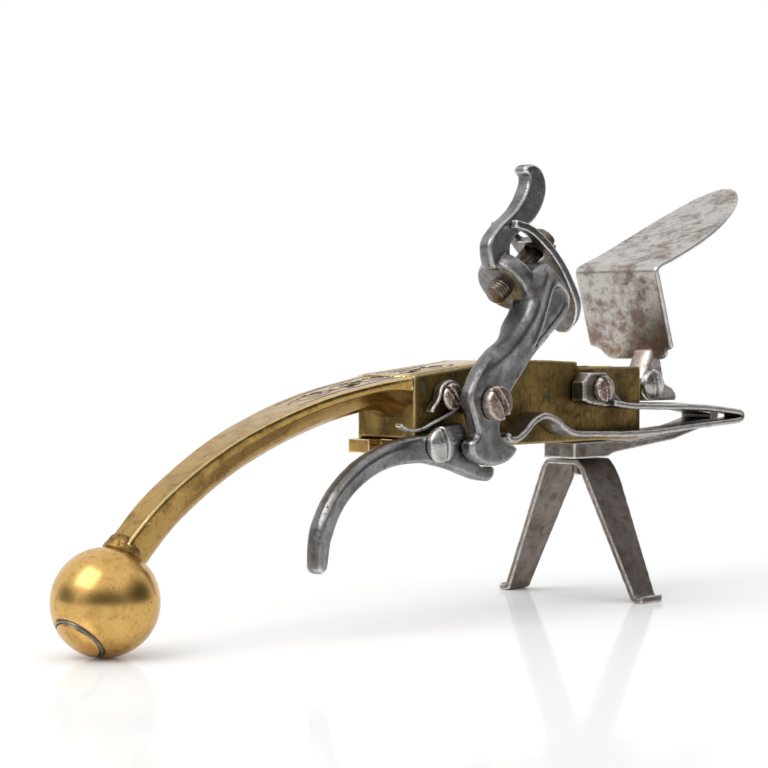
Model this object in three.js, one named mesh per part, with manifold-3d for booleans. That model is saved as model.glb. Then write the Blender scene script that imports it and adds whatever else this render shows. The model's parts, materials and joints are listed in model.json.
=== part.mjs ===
// Flintlock tinder lighter: a brass box with an open tinder pan, a curved brass handle ending in a
// ball, a steel lock on the near side (-Y) and an inverted-U stand under the front.
// Millimetres, +Z up. +X points from the handle to the pan and springs. Y = 0 is the box's middle.
// Rest pose: cock down, frizzen (the pan's lid with its striking leaf) swung open.

import * as THREE from 'three';
import { mergeVertices } from 'three/addons/utils/BufferGeometryUtils.js';
import Module from 'manifold-3d';

const wasm = await Module();
wasm.setup();

// ---- Driving dimensions -------------------------------------------------------------------

const GAP = 0.3;

const BOX = { rear: -10.6, front: 56.9, half: 7.3, bottom: 31.9, rearTop: 45.7, top: 48.1 };
const PAN = { rear: 38.2, front: 55.9, floor: 34.0, rim: 46.6, step: 36.7 };
const STORE = { rear: -8.6, front: 36.2 };
const WALL = { near: 2.0, far: 1.2 };
const COVER = { bottom: 33.0, top: 33.8, front: 34.0, groove: 0.6 };

const BALL = { x: -77.35, z: 9.15, radius: 9.15 };
// The tenon that joins the handle to the ball leans forward along (ux, uz).
const TENON = { ux: 0.396, uz: 0.918, radius: 2.6, hole: 2.9, start: 11.5, end: 3.5 };
const PLUG = { radius: 4.1, ringInner: 4.4, ringOuter: 4.85, seat: 7.1, angle: Math.PI * 1.253 };
// The handle's width falls quickly near the box (taper is the power) and slowly near the ball.
const HANDLE = { boxWidth: 12.4, ballWidth: 5.6, taper: 1.8, boxDepth: 5.0, ballDepth: 6.8, tangThickness: 2.0 };

// Blind screw holes in the near wall run from outside the box to this depth.
const HOLE = { outer: -8, end: -5.7 };
const SCREW = { dome: 0.5, slotWidth: 0.7, slotDepth: 0.8, tip: -5.9 };

// Layers of the lock, counted outwards from the box's near wall.
const LAYER = {
  plateInner: -7.6,
  triggerOuter: -10.8,
  searSpringOuter: -9.3,
  earOuter: -11.0,
  leafOuter: -12.6,
  cockInner: -11.1,
  cockOuter: -14.5,
};

const COCK_PIVOT = { x: 3.0, z: 40.5 };
const TRIGGER_PIVOT = { x: -8.0, z: 33.1 };
const SEAR_SCREW = { x: -2.8, z: 41.7 };
const MAIN_SCREW = { x: 39.5, z: 42.4 };
const NOSE = { x: 84.9, z: 35.8, radius: 1.5 };

// The jaw screw's axis leans up and forward; jaws are square to it.
const JAW = { x: 14.0, y: -8.0, z: 63.0, ux: 0.8, uz: 0.6 };
const JAW_SCREW = { shank: 1.7, thread: 2.1, head: 2.9 };

const FRIZZEN_PIVOT = { x: 61.3, z: 42.7 };
const FRIZZEN_OPEN = THREE.MathUtils.degToRad(71.8);
const LID = { rear: 36.9, front: 57.2, under: 46.8, thickness: 1.0, near: -10.5, far: 10.9 };
const LEAF = { top: 90.3, sweep: 4.9, taperFrom: 60, thickness: 1.3 };
const ARM = { near: -6.0, far: -1.0 };

const FEATHER = { near: -6.0, far: 2.0, rear: 37.3, boss: 50, bossBottom: 28.4, top: 31.6 };
const STAND = { top: 28.0, half: 5.5, foot: 16.9, toe: 18.7, thickness: 1.0 };
const RIVET = { x: 45.6, shank: 1.1, head: 2.4, stub: 24.6 };

// Brings the middle of the whole object's length to X = 0.
const FRAME_SHIFT = 5.6;

// ---- Helpers ------------------------------------------------------------------------------

function solid(geometry) {
  const bare = geometry.index ? geometry.toNonIndexed() : geometry.clone();
  bare.deleteAttribute('normal');
  bare.deleteAttribute('uv');
  const merged = mergeVertices(bare, 1e-4);
  const mesh = new wasm.Mesh({
    numProp: 3,
    vertProperties: new Float32Array(merged.attributes.position.array),
    triVerts: new Uint32Array(merged.index.array),
  });
  return new wasm.Manifold(mesh);
}

function surface(manifold) {
  const mesh = manifold.getMesh();
  const geometry = new THREE.BufferGeometry();
  geometry.setAttribute('position', new THREE.BufferAttribute(mesh.vertProperties, 3));
  geometry.setIndex(new THREE.BufferAttribute(mesh.triVerts, 1));
  return geometry;
}

// A polygon outline from points [x, z].
function polygon(points) {
  return new THREE.Shape(points.map(([x, z]) => new THREE.Vector2(x, z)));
}

// Points of a smooth curve through the given points [x, z].
function smooth(points, steps) {
  const curve = new THREE.CatmullRomCurve3(points.map(([x, z]) => new THREE.Vector3(x, z, 0)));
  return curve.getPoints(steps).map((p) => [p.x, p.y]);
}

// The outline of a bent strip: a smooth centre line with a thickness that runs from t0 to t1.
function strip(points, t0, t1, steps = 24) {
  const line = smooth(points, steps);
  const upper = [];
  const lower = [];
  line.forEach(([x, z], i) => {
    const [ax, az] = line[Math.max(i - 1, 0)];
    const [bx, bz] = line[Math.min(i + 1, line.length - 1)];
    const length = Math.hypot(bx - ax, bz - az);
    const half = (t0 + (t1 - t0) * (i / (line.length - 1))) / 2;
    const nx = (-(bz - az) / length) * half;
    const nz = ((bx - ax) / length) * half;
    upper.push([x + nx, z + nz]);
    lower.push([x - nx, z - nz]);
  });
  return polygon([...upper, ...lower.reverse()]);
}

// An outline in the XZ plane given a thickness between two Y values.
function plateY(shape, y0, y1) {
  const geometry = new THREE.ExtrudeGeometry(shape, {
    depth: Math.abs(y1 - y0),
    bevelEnabled: false,
    curveSegments: 8,
  });
  geometry.rotateX(Math.PI / 2);
  geometry.translate(0, Math.max(y0, y1), 0);
  return solid(geometry);
}

// An outline in the YZ plane given a thickness between two X values.
function plateX(shape, x0, x1) {
  const geometry = new THREE.ExtrudeGeometry(shape, {
    depth: x1 - x0,
    bevelEnabled: false,
    curveSegments: 8,
  });
  geometry.rotateX(Math.PI / 2);
  geometry.rotateZ(Math.PI / 2);
  geometry.translate(x0, 0, 0);
  return solid(geometry);
}

function block(x0, x1, y0, y1, z0, z1) {
  const geometry = new THREE.BoxGeometry(x1 - x0, y1 - y0, z1 - z0);
  geometry.translate((x0 + x1) / 2, (y0 + y1) / 2, (z0 + z1) / 2);
  return solid(geometry);
}

// A round bar along Y at (x, z).
function pinY(x, z, radius, y0, y1, segments = 20) {
  const geometry = new THREE.CylinderGeometry(radius, radius, Math.abs(y1 - y0), segments);
  geometry.translate(x, (y0 + y1) / 2, z);
  return solid(geometry);
}

// A round bar between two points of space.
function bar(from, to, radius, endRadius = radius, segments = 20) {
  const a = new THREE.Vector3(...from);
  const b = new THREE.Vector3(...to);
  const along = b.clone().sub(a);
  const geometry = new THREE.CylinderGeometry(endRadius, radius, along.length(), segments);
  const turn = new THREE.Quaternion().setFromUnitVectors(
    new THREE.Vector3(0, 1, 0),
    along.clone().normalize(),
  );
  geometry.applyQuaternion(turn);
  geometry.translate((a.x + b.x) / 2, (a.y + b.y) / 2, (a.z + b.z) / 2);
  return solid(geometry);
}

function ball(x, y, z, radius, segments = 32) {
  const geometry = new THREE.SphereGeometry(radius, segments, segments / 2);
  geometry.translate(x, y, z);
  return solid(geometry);
}

// A closed skin over rings of equal size, each a list of [x, y, z] counted the same way round.
function loft(rings) {
  const size = rings[0].length;
  const vertices = rings.flat(2);
  const faces = [];
  for (let r = 0; r + 1 < rings.length; r += 1) {
    for (let i = 0; i < size; i += 1) {
      const a = r * size + i;
      const b = r * size + ((i + 1) % size);
      faces.push(a, b + size, b, a, a + size, b + size);
    }
  }
  const last = (rings.length - 1) * size;
  for (let i = 1; i + 1 < size; i += 1) {
    faces.push(0, i, i + 1);
    faces.push(last, last + i + 1, last + i);
  }
  const geometry = new THREE.BufferGeometry();
  geometry.setAttribute('position', new THREE.Float32BufferAttribute(vertices, 3));
  geometry.setIndex(faces);
  return solid(geometry);
}

// A slotted screw along Y: a domed head outside, a plain shank towards the box.
function screwY({ x, z, radius, inner, outer, shank, tip, slotAngle }) {
  const rim = pinY(x, z, radius, inner, outer + SCREW.dome, 28);
  const dome = new THREE.CylinderGeometry(radius, radius * 0.8, SCREW.dome, 28);
  dome.translate(x, outer + SCREW.dome / 2, z);
  const stem = pinY(x, z, shank, inner - 0.2, tip);
  const slot = new THREE.BoxGeometry(radius * 2.4, SCREW.slotDepth * 2, SCREW.slotWidth);
  slot.rotateY(-slotAngle);
  slot.translate(x, outer, z);
  return rim.add(solid(dome)).add(stem).subtract(solid(slot));
}

// ---- Brass parts ----------------------------------------------------------------------------

function topLine(inset) {
  return [
    [STORE.front, BOX.top - 0.3 - inset],
    [26.7, BOX.top + 0.1 - inset],
    [13.4, BOX.top - inset],
    [4.8, 47.2 - inset],
    [BOX.rear, BOX.rearTop - inset],
  ];
}

function boxBody() {
  const side = polygon([
    [BOX.rear, BOX.bottom],
    [BOX.front, BOX.bottom],
    [BOX.front, PAN.rim],
    [PAN.step, PAN.rim],
    [PAN.step, BOX.top - 0.3],
    ...topLine(0),
  ]);
  const near = -BOX.half + WALL.near;
  const far = BOX.half - WALL.far;
  const store = block(STORE.rear, STORE.front, near, far, BOX.bottom - 1, BOX.top + 2);
  const pan = block(PAN.rear, PAN.front, near, far, PAN.floor, BOX.top + 2);
  const tangNotch = block(BOX.rear - 1, STORE.rear + 1, near, far, 40.4, BOX.top + 2);
  const groove = block(
    BOX.rear - 1,
    COVER.front + GAP,
    near - COVER.groove,
    far + COVER.groove,
    COVER.bottom - GAP,
    COVER.top + GAP,
  );
  const armNotch = block(PAN.front - 1, BOX.front + 1, ARM.near - 0.4, ARM.far + 0.4, 43.2, 50);
  const lugShape = polygon([
    [BOX.front - 0.5, 38.8],
    [FRIZZEN_PIVOT.x, 38.8],
    [FRIZZEN_PIVOT.x + 2.6, 40.6],
    [FRIZZEN_PIVOT.x + 3.1, FRIZZEN_PIVOT.z],
    [FRIZZEN_PIVOT.x + 2.2, 45.0],
    [FRIZZEN_PIVOT.x, 45.9],
    [BOX.front - 0.5, 45.9],
  ]);
  let body = plateY(side, -BOX.half, BOX.half);
  body = body.subtract(store).subtract(pan).subtract(tangNotch).subtract(groove);
  body = body.subtract(armNotch).add(plateY(lugShape, ARM.far + 0.4, BOX.half - 0.4));
  body = body.subtract(pinY(COCK_PIVOT.x, COCK_PIVOT.z, 1.6, HOLE.outer, HOLE.end));
  body = body.subtract(pinY(TRIGGER_PIVOT.x, TRIGGER_PIVOT.z, 1.0, HOLE.outer, HOLE.end - 0.4));
  body = body.subtract(pinY(SEAR_SCREW.x, SEAR_SCREW.z, 1.2, HOLE.outer, HOLE.end));
  body = body.subtract(pinY(MAIN_SCREW.x, MAIN_SCREW.z, 1.4, HOLE.outer, HOLE.end));
  body = body.subtract(pinY(FRIZZEN_PIVOT.x, FRIZZEN_PIVOT.z, 1.6, -2, 5.6));
  return body.subtract(bar([RIVET.x, 0, 30], [RIVET.x, 0, 36], RIVET.shank + GAP));
}

// The handle's octagonal section at a point of its top line, square to the line's direction.
function handleRing(point, tangent, width, depth) {
  const half = width / 2;
  const down = [tangent.z, -tangent.x];
  const section = [
    [-half, 0],
    [-half, 0.28],
    [-half * 0.72, 0.7],
    [-half * 0.34, 1],
    [half * 0.34, 1],
    [half * 0.72, 0.7],
    [half, 0.28],
    [half, 0],
  ];
  return section.map(([y, d]) => [point.x + down[0] * d * depth, y, point.z + down[1] * d * depth]);
}

// A point at a distance from the ball's centre along the tenon's axis.
function tenonPoint(distance) {
  return [BALL.x + TENON.ux * distance, 0, BALL.z + TENON.uz * distance];
}

function handle() {
  const line = new THREE.CatmullRomCurve3([
    new THREE.Vector3(BOX.rear + 2, 0, 45.9),
    new THREE.Vector3(-30, 0, 42.2),
    new THREE.Vector3(-49.7, 0, 35.7),
    new THREE.Vector3(-65.2, 0, 27.1),
    new THREE.Vector3(-75.6, 0, 18.0),
  ]);
  const steps = 22;
  const rings = [];
  for (let i = 0; i <= steps; i += 1) {
    const t = i / steps;
    const flare = Math.max(0, 1 - t / 0.1) ** 2;
    const narrowing = 1 - (1 - t) ** HANDLE.taper;
    const width = THREE.MathUtils.lerp(HANDLE.boxWidth, HANDLE.ballWidth, narrowing) + 2.2 * flare;
    const depth = THREE.MathUtils.lerp(HANDLE.boxDepth, HANDLE.ballDepth, t) + 2.6 * flare;
    const tangent = line.getTangentAt(t).negate();
    rings.push(handleRing(line.getPointAt(t), tangent, width, depth));
  }
  const tangShape = polygon([
    ...topLine(0).map(([x, z]) => [x === BOX.rear ? BOX.rear - 1 : Math.min(x, STORE.front - GAP), z]),
    [BOX.rear - 1, BOX.rearTop - 4.4],
    [STORE.rear - 1.4, BOX.rearTop - 4.4],
    [STORE.rear + 1.6, BOX.rearTop - HANDLE.tangThickness],
    [13.4, BOX.top - HANDLE.tangThickness],
    [STORE.front - GAP, BOX.top - 0.3 - HANDLE.tangThickness],
  ]);
  const near = -BOX.half + WALL.near + GAP;
  const far = BOX.half - WALL.far - GAP;
  return loft(rings)
    .subtract(block(BOX.rear - GAP, 10, -20, 20, 20, 60))
    .add(plateY(tangShape, near, far))
    .subtract(ball(BALL.x, 0, BALL.z, BALL.radius + GAP))
    .add(bar(tenonPoint(TENON.start), tenonPoint(TENON.end), TENON.radius));
}

// A point at a distance from the ball's centre along the plug's axis.
function plugPoint(distance) {
  return [
    BALL.x + Math.cos(PLUG.angle) * distance,
    0,
    BALL.z + Math.sin(PLUG.angle) * distance,
  ];
}

function pommelBall() {
  return ball(BALL.x, 0, BALL.z, BALL.radius, 40)
    .subtract(bar(tenonPoint(TENON.end - GAP), tenonPoint(TENON.start + 0.5), TENON.hole))
    .subtract(bar(plugPoint(PLUG.seat), plugPoint(12), PLUG.ringOuter + GAP, PLUG.ringOuter + GAP, 32))
    .subtract(bar(plugPoint(2), plugPoint(8), TENON.hole));
}

function pommelPlug() {
  const cap = bar(plugPoint(PLUG.seat + GAP), plugPoint(12), PLUG.radius, PLUG.radius, 32);
  return cap
    .intersect(ball(BALL.x, 0, BALL.z, BALL.radius + 0.15, 40))
    .add(bar(plugPoint(2 + GAP), plugPoint(PLUG.seat + 0.6), TENON.radius));
}

function plugRing() {
  return bar(plugPoint(PLUG.seat + GAP), plugPoint(12), PLUG.ringOuter, PLUG.ringOuter, 32)
    .subtract(bar(plugPoint(PLUG.seat), plugPoint(13), PLUG.ringInner, PLUG.ringInner, 32))
    .intersect(ball(BALL.x, 0, BALL.z, BALL.radius - 0.1, 40));
}

function bottomCover() {
  const near = -BOX.half + WALL.near - COVER.groove + GAP;
  const far = BOX.half - WALL.far + COVER.groove - GAP;
  const plate = block(BOX.rear - 0.4, COVER.front, near, far, COVER.bottom, COVER.top);
  const tab = block(BOX.rear - 3.4, BOX.rear - 0.3, far - 5.4, far, 31.2, COVER.top);
  return plate.add(tab);
}

// ---- Cock -----------------------------------------------------------------------------------

// A point of the jaw frame: along the jaw screw, across it and upwards, and in Y.
function jawPoint(along, up, y = JAW.y) {
  return [JAW.x + JAW.ux * along - JAW.uz * up, y, JAW.z + JAW.uz * along + JAW.ux * up];
}

// A plate square to the jaw screw, from an outline in (Y, up) and two distances along the screw.
function jawPlate(shape, from, to) {
  const geometry = new THREE.ExtrudeGeometry(shape, {
    depth: to - from,
    bevelEnabled: false,
    curveSegments: 10,
  });
  const across = new THREE.Vector3(0, 1, 0);
  const up = new THREE.Vector3(-JAW.uz, 0, JAW.ux);
  const along = new THREE.Vector3(JAW.ux, 0, JAW.uz);
  geometry.applyMatrix4(new THREE.Matrix4().makeBasis(across, up, along));
  geometry.translate(...jawPoint(from, 0));
  return solid(geometry);
}

function jawRectangle(y0, y1, up0, up1) {
  return polygon([[y0, up0], [y1, up0], [y1, up1], [y0, up1]]);
}

function cock() {
  const foot = polygon([
    [3.9, 50.3],
    [-0.2, 46.2],
    [-2.4, 43.2],
    [-2.9, 41.0],
    [-2.0, 38.2],
    [-0.6, 34.6],
    [-2.6, 33.4],
    [-2.2, 31.2],
    [-0.6, 29.8],
    [2.2, 28.9],
    [5.2, 28.8],
    [8.1, 29.5],
    [10.5, 31.3],
    [10.2, 32.1],
    [6.9, 33.4],
    [5.6, 34.8],
    [5.8, 38.0],
    [8.7, 42.8],
    [11.6, 45.4],
    [17.0, 50.4],
  ]);
  const neck = polygon([
    [3.0, 49.4],
    [8.0, 44.6],
    [14.7, 47.6],
    [22.3, 54.4],
    [25.4, 56.8],
    [26.5, 59.6],
    [26.0, 61.6],
    [23.4, 64.2],
    [19.1, 67.0],
    [13.5, 62.0],
    [14.4, 59.0],
    [8.6, 52.9],
  ]);
  const spur = polygon([
    [8.4, 67.0],
    [7.8, 71.2],
    [11.0, 74.2],
    [15.5, 77.4],
    [18.2, 80.6],
    [19.0, 83.6],
    [17.9, 85.0],
    [20.4, 85.9],
    [22.8, 84.9],
    [24.2, 82.4],
    [23.6, 78.8],
    [21.2, 75.6],
    [16.5, 73.2],
    [13.6, 70.6],
    [12.6, 67.0],
  ]);
  const lowerJaw = new THREE.Shape();
  lowerJaw.absellipse(0, 0, 5.7, 6.4, 0, Math.PI * 2);
  return plateY(foot, LAYER.cockInner, LAYER.cockOuter)
    .add(plateY(neck, JAW.y - 0.6, LAYER.cockOuter + 0.3))
    .subtract(block(-3, 9.5, LAYER.cockInner, JAW.y, 43, 53))
    .add(pinY(COCK_PIVOT.x, COCK_PIVOT.z, 2.3, LAYER.plateInner, LAYER.cockInner - 0.5, 24))
    .add(jawPlate(lowerJaw, -1.2, 2.2))
    .add(plateY(spur, JAW.y - 1.4, JAW.y + 1.4))
    .subtract(bar(jawPoint(-8, 0), jawPoint(20, 0), JAW_SCREW.thread + GAP))
    .subtract(pinY(COCK_PIVOT.x, COCK_PIVOT.z, 1.5, -7, -15));
}

function topJaw() {
  const profile = strip(
    [[13.4, 74.2], [17.6, 73.2], [21.8, 70.4], [25.4, 67.3], [28.7, 63.2], [31.0, 59.2], [32.0, 53.6]],
    1.6,
    2.0,
    16,
  );
  const outline = new THREE.Shape();
  outline.moveTo(3.2, 12);
  outline.lineTo(-3.2, 12);
  outline.lineTo(-4.2, 0);
  outline.lineTo(-4.2, -12.5);
  outline.absellipse(0, -12.5, 4.2, 5.5, Math.PI, Math.PI * 2);
  outline.lineTo(4.2, 0);
  return plateY(profile, JAW.y - 4.5, JAW.y + 4.5)
    .intersect(jawPlate(outline, 2, 22))
    .subtract(jawPlate(jawRectangle(-1.8, 1.8, 3.2, 16), 1, 24))
    .subtract(bar(jawPoint(11.9, 0), jawPoint(20, 0), JAW_SCREW.head + GAP))
    .subtract(bar(jawPoint(4, 0), jawPoint(20, 0), JAW_SCREW.shank + GAP));
}

function jawScrew() {
  const slot = jawPlate(jawRectangle(-4, 4, -0.45, 0.45), 13.7, 16);
  return bar(jawPoint(12.2, 0), jawPoint(14.4, 0), JAW_SCREW.head, JAW_SCREW.head, 28)
    .subtract(slot)
    .add(bar(jawPoint(2.6, 0), jawPoint(12.4, 0), JAW_SCREW.shank))
    .add(bar(jawPoint(-4.4, 0), jawPoint(2.8, 0), JAW_SCREW.thread, JAW_SCREW.thread, 24));
}

// ---- Trigger and springs --------------------------------------------------------------------

function trigger() {
  const outline = polygon([
    [-3.4, 36.6],
    [-7.0, 35.6],
    [-10.4, 34.7],
    ...smooth([[-14.8, 34.6], [-21.0, 33.4], [-28.2, 30.4], [-34.4, 25.6], [-38.2, 19.6], [-39.0, 13.0]], 18),
    [-38.2, 11.7],
    [-36.8, 11.4],
    ...smooth([[-35.4, 12.2], [-34.6, 17.0], [-31.6, 22.4], [-26.4, 26.6], [-19.6, 29.2], [-12.4, 29.8]], 16),
    [-6.8, 29.0],
    [-2.8, 28.0],
    [0.6, 26.9],
    [4.2, 25.9],
    [7.3, 25.8],
    [8.2, 28.3],
    [5.0, 28.4],
    [1.6, 30.6],
    [0.7, 33.6],
    [-0.2, 36.8],
  ]);
  return plateY(outline, LAYER.plateInner, LAYER.triggerOuter)
    .subtract(pinY(TRIGGER_PIVOT.x, TRIGGER_PIVOT.z, 1.3, -7, -12));
}

function searSpring() {
  const loop = strip(
    [
      [-7.5, 39.2],
      [-5.7, 41.2],
      [-4.9, 43.5],
      [-2.8, 44.4],
      [-0.7, 43.5],
      [0.0, 41.7],
      [-1.1, 39.6],
      [-4.2, 38.1],
      [-7.4, 37.0],
      [-10.0, 36.0],
      [-12.6, 35.7],
      [-14.6, 36.1],
      [-16.0, 36.7],
    ],
    0.6,
    0.7,
    48,
  );
  return plateY(loop, LAYER.plateInner, LAYER.searSpringOuter);
}

// The ear, the fixed upper leaf and the bend of the mainspring.
function mainspring() {
  const leaf = polygon([
    [44.0, 40.3],
    [47.0, 39.5],
    [52.0, 39.25],
    [71.0, 38.6],
    [NOSE.x, NOSE.z + NOSE.radius],
    [NOSE.x + 1.1, NOSE.z + 1.1],
    [NOSE.x + NOSE.radius, NOSE.z],
    [NOSE.x + 1.1, NOSE.z - 1.1],
    [NOSE.x, NOSE.z - NOSE.radius],
    [NOSE.x - 2.0, NOSE.z - 1.6],
    [NOSE.x - 2.0, NOSE.z - 0.3],
    [NOSE.x - 0.8, NOSE.z],
    [NOSE.x - 2.4, NOSE.z + 0.45],
    [71.0, 37.4],
    [52.0, 38.05],
    [40.0, 38.9],
    [40.0, 40.3],
  ]);
  const ear = polygon([
    [34.2, 40.2],
    [34.2, 43.8],
    [36.2, 45.6],
    [41.2, 45.7],
    [43.6, 44.0],
    [44.2, 41.4],
    [44.0, 39.4],
    [40.0, 38.9],
    [36.2, 39.4],
  ]);
  return plateY(leaf, LAYER.plateInner, LAYER.leafOuter)
    .subtract(block(33, 44.6, LAYER.leafOuter - 1, LAYER.earOuter, 38, 47))
    .add(plateY(ear, LAYER.plateInner, LAYER.earOuter))
    .subtract(pinY(MAIN_SCREW.x, MAIN_SCREW.z, 1.6, -7, -13));
}

// The mainspring's working leaf, with the S-shaped hook that presses on the cock's toe.
function mainspringLeaf() {
  const leaf = strip(
    [
      [NOSE.x - 2.4, NOSE.z - 0.95],
      [70.0, 34.2],
      [52.0, 33.3],
      [36.0, 33.6],
      [30.4, 33.9],
      [27.2, 34.9],
      [24.3, 36.7],
      [20.9, 37.7],
      [17.7, 36.7],
      [15.2, 34.7],
      [13.0, 33.5],
      [11.2, 33.4],
      [9.9, 33.9],
    ],
    1.2,
    1.4,
    44,
  );
  return plateY(leaf, LAYER.plateInner, LAYER.leafOuter);
}

function featherSpring() {
  const outline = polygon([
    [FEATHER.rear, FEATHER.bossBottom],
    [FEATHER.boss - 2, FEATHER.bossBottom],
    [FEATHER.boss, 29.1],
    [70.0, 31.1],
    [83.5, 34.0],
    [85.6, 34.9],
    [86.0, 36.2],
    [84.8, 37.3],
    [74.0, 38.7],
    [63.6, 39.0],
    [63.6, 37.9],
    [74.0, 37.5],
    [83.4, 36.2],
    [83.2, 35.2],
    [70.0, 32.6],
    [55.0, 31.2],
    [FEATHER.boss, FEATHER.top],
    [FEATHER.rear, FEATHER.top],
  ]);
  return plateY(outline, FEATHER.near, FEATHER.far)
    .subtract(bar([RIVET.x, 0, 27], [RIVET.x, 0, 33], RIVET.shank + GAP));
}

// ---- Frizzen --------------------------------------------------------------------------------

// Shaped as it lies when closed, then swung open about its screw.
function frizzen() {
  const lid = block(LID.rear, LID.front, LID.near, LID.far, LID.under, LID.under + LID.thickness);
  const leafLine = [];
  for (let i = 0; i <= 10; i += 1) {
    const z = THREE.MathUtils.lerp(LID.under + 0.4, LEAF.top, i / 10);
    const rise = (z - LID.under) / (LEAF.top - LID.under);
    leafLine.push([LID.rear + LEAF.thickness / 2 - LEAF.sweep * rise ** 2, z]);
  }
  const middle = (LID.near + LID.far) / 2;
  const half = (LID.far - LID.near) / 2;
  const face = new THREE.Shape();
  face.moveTo(LID.near, 40);
  face.lineTo(LID.far, 40);
  face.absellipse(middle, LEAF.taperFrom, half, LEAF.top - LEAF.taperFrom, 0, Math.PI);
  const leaf = plateY(strip(leafLine, 1.3, 1.0, 12), LID.near, LID.far).intersect(plateX(face, 20, 45));
  const nearNotch = block(LID.front - 2.6, LID.front + 1, LID.near - 1, LID.near + 2.7, 46, 49);
  const farNotch = block(LID.front - 2.8, LID.front + 1, LID.far - 5.5, LID.far + 1, 46, 49);
  const plate = lid.subtract(nearNotch).subtract(farNotch).add(leaf);
  const opened = plate
    .translate([-FRIZZEN_PIVOT.x, 0, -FRIZZEN_PIVOT.z])
    .rotate([0, THREE.MathUtils.radToDeg(FRIZZEN_OPEN), 0])
    .translate([FRIZZEN_PIVOT.x, 0, FRIZZEN_PIVOT.z]);
  const arm = polygon([
    [62.4, 49.4],
    [60.9, 46.6],
    [59.5, 44.2],
    [59.2, 41.6],
    [60.3, 39.4],
    [71.2, 39.4],
    [70.9, 40.8],
    [69.6, 42.1],
    [67.2, 42.9],
    [66.5, 44.4],
    [65.9, 47.0],
    [65.0, 49.2],
  ]);
  return opened
    .add(plateY(arm, ARM.near, ARM.far))
    .subtract(pinY(FRIZZEN_PIVOT.x, FRIZZEN_PIVOT.z, 1.6, -8, 0));
}

// ---- Stand ----------------------------------------------------------------------------------

function stand() {
  const half = STAND.half;
  const top = STAND.top;
  const t = STAND.thickness;
  const strap = polygon([
    [-STAND.toe, 0],
    [-STAND.foot, 0],
    [-STAND.foot + t, 0.3],
    [-half + t, top - 2.2],
    [-half + t + 0.8, top - t],
    [half - t - 0.8, top - t],
    [half - t, top - 2.2],
    [STAND.foot - t, 0.3],
    [STAND.foot, 0],
    [STAND.toe, 0],
    [STAND.toe, 1.5],
    [STAND.toe - 0.9, 1.1],
    [STAND.foot + 0.1, 1.1],
    [half, top - 1.6],
    [half - 1.4, top],
    [-half + 1.4, top],
    [-half, top - 1.6],
    [-STAND.foot - 0.1, 1.1],
    [-STAND.toe + 0.9, 1.1],
    [-STAND.toe, 1.5],
  ]);
  const taper = polygon([
    [40.4, top + 1],
    [42.8, -1],
    [49.3, -1],
    [51.4, top - 4],
    [50.6, top + 1],
  ]);
  return plateX(strap, 38, 54)
    .intersect(plateY(taper, -STAND.toe - 1, STAND.toe + 1))
    .subtract(bar([RIVET.x, 0, top - 3], [RIVET.x, 0, top + 2], RIVET.shank + GAP));
}

function standRivet() {
  return bar([RIVET.x, 0, RIVET.stub], [RIVET.x, 0, PAN.floor + 0.5], RIVET.shank)
    .add(bar([RIVET.x, 0, PAN.floor + GAP], [RIVET.x, 0, PAN.floor + 1.2], RIVET.head, 1.8));
}

// ---- Screws ---------------------------------------------------------------------------------

const cockScrew = () => screwY({
  ...COCK_PIVOT,
  radius: 3.25,
  inner: LAYER.cockOuter - 0.1,
  outer: -17.0,
  shank: 1.2,
  tip: SCREW.tip,
  slotAngle: 1.0,
});

const triggerScrew = () => screwY({
  ...TRIGGER_PIVOT,
  radius: 3.3,
  inner: LAYER.triggerOuter - 0.1,
  outer: -12.9,
  shank: 0.8,
  tip: -6.3,
  slotAngle: 1.42,
});

const searSpringScrew = () => screwY({
  ...SEAR_SCREW,
  radius: 2.5,
  inner: LAYER.searSpringOuter - 0.1,
  outer: -10.8,
  shank: 0.9,
  tip: SCREW.tip,
  slotAngle: -0.9,
});

const mainspringScrew = () => screwY({
  ...MAIN_SCREW,
  radius: 2.6,
  inner: LAYER.earOuter - 0.1,
  outer: -12.7,
  shank: 1.1,
  tip: SCREW.tip,
  slotAngle: -1.2,
});

const frizzenScrew = () => screwY({
  ...FRIZZEN_PIVOT,
  radius: 3.2,
  inner: ARM.near - 0.2,
  outer: -8.0,
  shank: 1.3,
  tip: 5.3,
  slotAngle: 1.5,
});

// ---- Assembly -------------------------------------------------------------------------------

const brass = { color: 0xb8964e, roughness: 0.3, metalness: 1 };
const darkBrass = { color: 0x7c6534, roughness: 0.45, metalness: 1 };
const steel = { color: 0x77767a, roughness: 0.42, metalness: 1 };
const springSteel = { color: 0x6c6662, roughness: 0.45, metalness: 1 };
const brightSteel = { color: 0xa9a49d, roughness: 0.3, metalness: 1 };
const wornScrew = { color: 0x8a6f5e, roughness: 0.4, metalness: 1 };

const pieces = [
  ['box_body', boxBody, darkBrass],
  ['handle', handle, brass],
  ['pommel_ball', pommelBall, brass],
  ['pommel_plug', pommelPlug, brass],
  ['plug_ring', plugRing, brightSteel],
  ['bottom_cover', bottomCover, darkBrass],
  ['cock', cock, steel],
  ['top_jaw', topJaw, steel],
  ['jaw_screw', jawScrew, wornScrew],
  ['cock_screw', cockScrew, wornScrew],
  ['trigger', trigger, steel],
  ['trigger_screw', triggerScrew, brightSteel],
  ['sear_spring', searSpring, springSteel],
  ['sear_spring_screw', searSpringScrew, wornScrew],
  ['mainspring', mainspring, springSteel],
  ['mainspring_leaf', mainspringLeaf, springSteel],
  ['mainspring_screw', mainspringScrew, wornScrew],
  ['frizzen', frizzen, brightSteel],
  ['frizzen_screw', frizzenScrew, brightSteel],
  ['feather_spring', featherSpring, springSteel],
  ['stand', stand, springSteel],
  ['stand_rivet', standRivet, wornScrew],
];

const group = new THREE.Group();
for (const [name, make, finish] of pieces) {
  const mesh = new THREE.Mesh(surface(make()), new THREE.MeshStandardMaterial(finish));
  mesh.name = name;
  group.add(mesh);
}
group.position.x = -FRAME_SHIFT;

export default group;
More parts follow.
